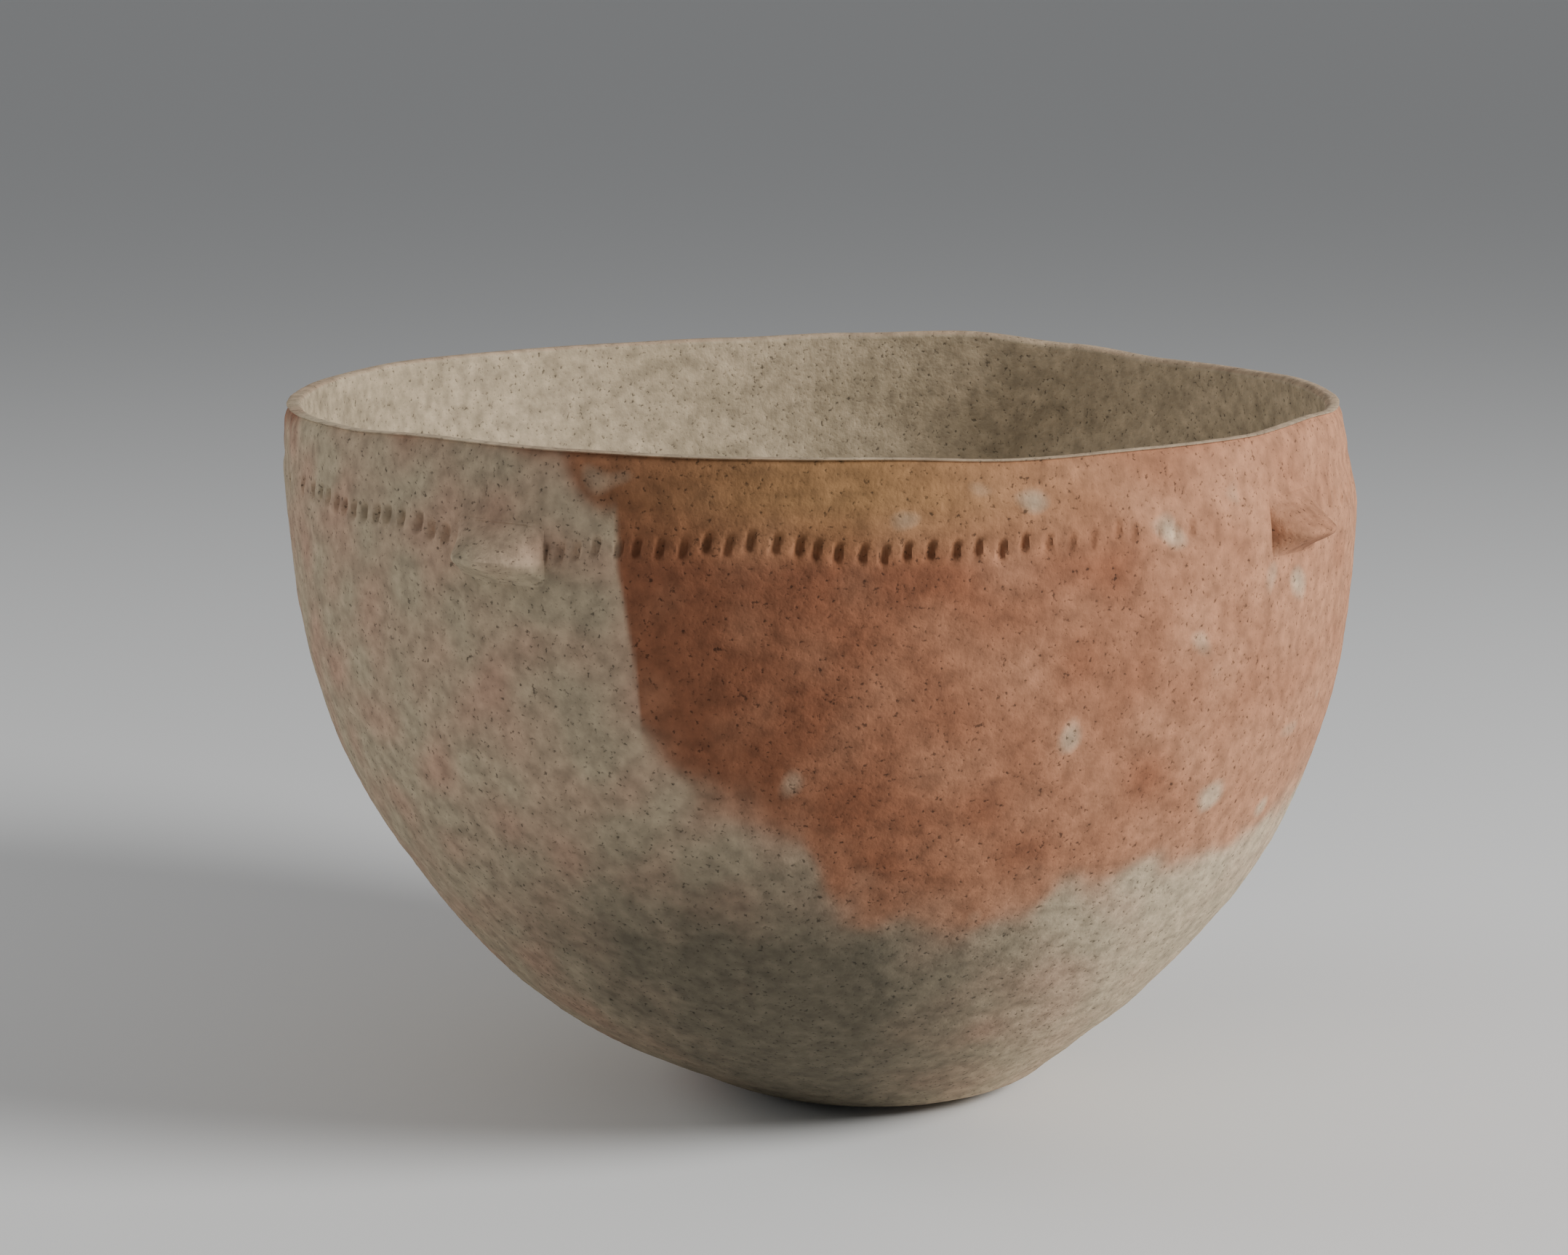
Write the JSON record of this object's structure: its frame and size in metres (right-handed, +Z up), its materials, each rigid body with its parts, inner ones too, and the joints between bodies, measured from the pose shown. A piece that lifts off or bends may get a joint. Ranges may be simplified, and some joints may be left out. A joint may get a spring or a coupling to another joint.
{
  "type": "pottery bowl",
  "caption": "Deep hand-built pottery bowl with a small flat base, a band of pricked marks and small ledge lugs below the rim.",
  "frame": {"origin": "centre of the small flat that the bowl rests on", "axes": "+Z up through the mouth, -Y towards the viewer of the picture, +X to its right"},
  "size_m": [0.2823, 0.2824, 0.1892],
  "materials": {
    "buff_clay": "matt, gritty",
    "red_slip": "worn matt slip"
  },
  "bodies": {
    "root": {"base_pad": "buff_clay", "wall_coil_1": "buff_clay", "wall_coil_2": "buff_clay", "wall_coil_3": "red_slip", "wall_coil_4": "red_slip", "wall_coil_5": "red_slip", "band_coil": "red_slip", "rim_coil": "red_slip", "lug_front_left": "red_slip", "lug_front_right": "red_slip", "lug_back_right": "red_slip", "lug_back_left": "red_slip"}
  },
  "joints": []
}
